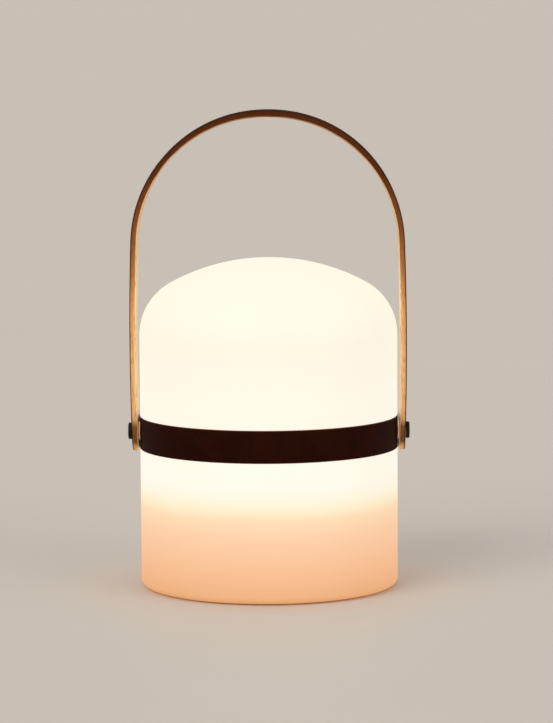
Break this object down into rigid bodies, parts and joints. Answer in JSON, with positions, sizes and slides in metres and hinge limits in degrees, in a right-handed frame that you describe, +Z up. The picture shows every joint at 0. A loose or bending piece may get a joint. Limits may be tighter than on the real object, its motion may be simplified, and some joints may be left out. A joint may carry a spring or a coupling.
{
  "type": "lantern table lamp",
  "caption": "Domed opal lantern lamp on a rechargeable base, belted by a dark leather strap, with a bent-wood handle that swings on side pivots.",
  "frame": {"origin": "on the table under the lamp's vertical axis", "axes": "+Z up along the lamp's axis; +X along the handle's pivot axis, to the right seen from the front; the front faces -Y"},
  "size_m": [0.1762, 0.1619, 0.2975],
  "materials": {
    "opal_shade": "satin opal polyethylene, lit warm from inside",
    "dark_leather": "matte dark brown, cut edges",
    "aged_brass": "dull",
    "bent_oak": "oiled, laminated strip",
    "plain_steel": "zinc plated",
    "black_metal": "satin black",
    "base_plastic": "fine spark texture",
    "grey_rubber": "matte",
    "black_rubber": "matte",
    "white_plastic": "satin",
    "aluminium_sheet": "rolled",
    "white_board": "white solder mask",
    "light_chips": "yellow phosphor",
    "opal_cover": "opal",
    "red_wire": "extruded insulation",
    "cell_wrap": "shrink sleeve",
    "black_wire": "extruded insulation",
    "green_board": "green solder mask",
    "black_plastic": "moulded",
    "red_plastic": "moulded"
  },
  "bodies": {
    "lamp_body": {"shade_shell": "opal_shade", "strap": "dark_leather", "strap_rivets": "aged_brass", "pivot_screws": "black_metal", "pivot_washers": "plain_steel", "pivot_nuts": "plain_steel", "base_plate": "base_plastic", "base_seal": "grey_rubber", "base_screws": "plain_steel", "rubber_feet": "black_rubber", "inner_housing": "white_plastic", "housing_screws": "plain_steel", "heat_spreader": "aluminium_sheet", "led_board": "white_board", "led_chips": "light_chips", "led_board_screws": "plain_steel", "led_cover": "opal_cover", "led_leads": "red_wire", "battery_cradle": "white_plastic", "battery_cells": "cell_wrap", "cell_tabs": "plain_steel", "cell_clamp": "plain_steel", "clamp_screws": "plain_steel", "cradle_screws": "plain_steel", "battery_leads": "black_wire", "control_board": "green_board", "control_parts": "black_plastic", "control_screws": "plain_steel", "charging_socket": "plain_steel", "switch_housing": "black_plastic"},
    "handle": {"handle_bow": "bent_oak", "pivot_bushes": "white_plastic"},
    "button": {"power_button": "grey_rubber", "switch_plunger": "red_plastic"},
    "port_flap": {"port_cover": "grey_rubber"}
  },
  "joints": [
    {"name": "handle_swing", "type": "hinge", "parent": "lamp_body", "child": "handle", "pos_m": [0, 0, 0.0972], "axis": [1, 0, 0], "range_deg": [-115, 115]},
    {"name": "button_press", "type": "slide", "parent": "lamp_body", "child": "button", "axis": [0, 0, 1], "range_m": [0, 0.0008], "stiffness_N_per_m": 400},
    {"name": "port_flap_hinge", "type": "hinge", "parent": "lamp_body", "child": "port_flap", "pos_m": [0, 0.0251, 0.00185], "axis": [-1, 0, 0], "range_deg": [0, 95]}
  ]
}
